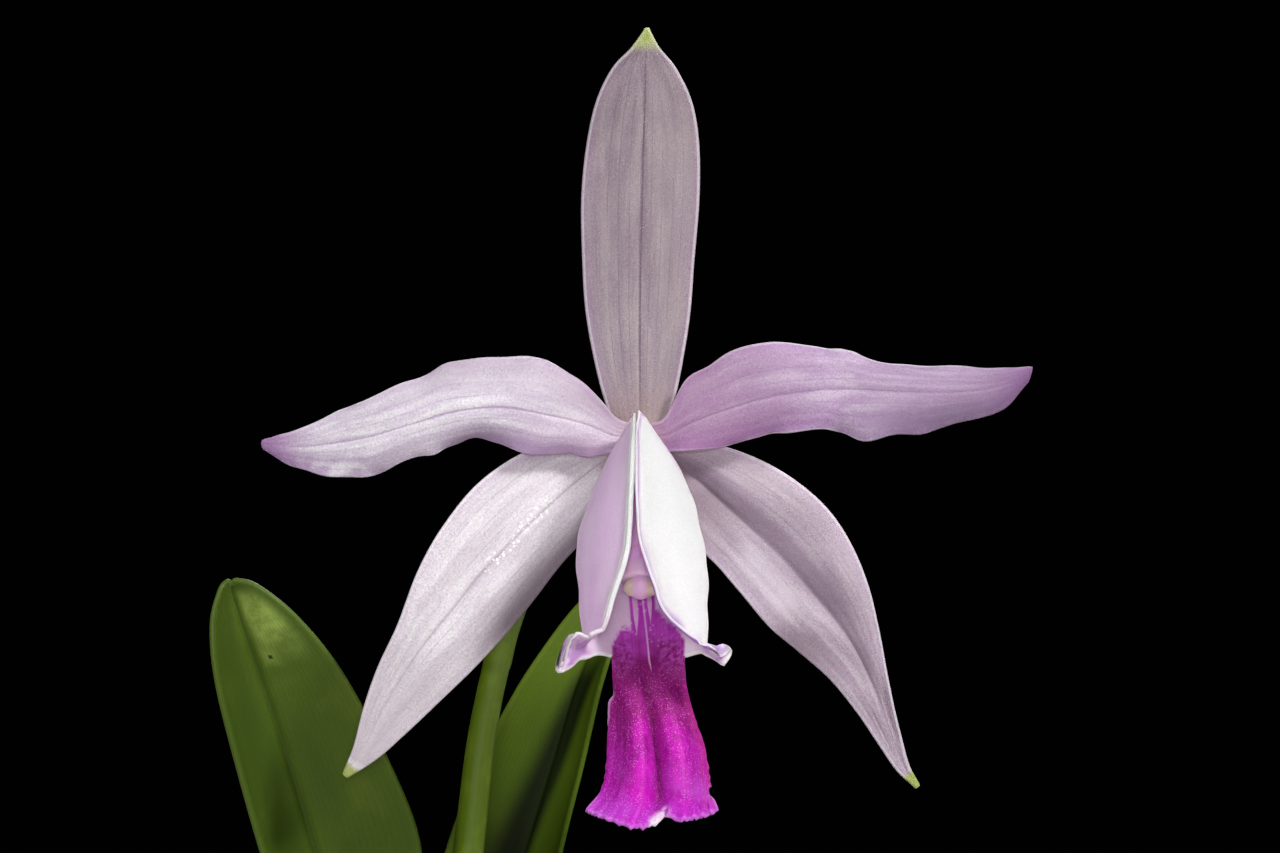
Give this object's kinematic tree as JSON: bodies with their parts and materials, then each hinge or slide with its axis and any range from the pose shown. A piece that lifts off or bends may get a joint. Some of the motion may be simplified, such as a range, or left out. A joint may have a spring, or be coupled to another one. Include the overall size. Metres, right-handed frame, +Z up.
{
  "type": "potted cattleya intermedia",
  "caption": "Bifoliate orchid in a plain clay pot: jointed pseudobulbs with paired leaves, the newest with one open lilac flower whose rolled lip has a magenta apron.",
  "frame": {"origin": "centre of the pot's flat underside", "axes": "+Z up the plant, -Y the way the flower faces, +X to the right of someone facing the flower"},
  "size_m": [0.1637, 0.1547, 0.4579],
  "materials": {
    "clay": "matte",
    "bark": "matte",
    "rhizome": "matte",
    "bulb": "satin",
    "shoot": "satin",
    "leaf": "satin",
    "stalk": "satin",
    "sepal": "satin",
    "petal": "satin",
    "lip": "satin",
    "column": "satin",
    "anther": "satin"
  },
  "bodies": {
    "root": {"pot": "clay", "bark_mix": "bark", "rhizome_and_roots": "rhizome", "pseudobulb_1": "bulb", "pseudobulb_2": "bulb", "pseudobulb_3": "bulb", "pseudobulb_4": "bulb", "pseudobulb_5": "bulb", "new_shoot": "shoot", "leaf_1a": "leaf", "leaf_1b": "leaf", "leaf_2a": "leaf", "leaf_2b": "leaf", "leaf_3a": "leaf", "leaf_3b": "leaf", "leaf_4a": "leaf", "leaf_4b": "leaf", "leaf_5a": "leaf", "leaf_5b": "leaf", "flower_stalk": "stalk", "spathe": "stalk", "dorsal_sepal": "sepal", "lateral_sepal_left": "sepal", "lateral_sepal_right": "sepal", "petal_left": "petal", "petal_right": "petal", "lip": "lip", "column": "column", "anther_cap": "anther"}
  },
  "joints": []
}
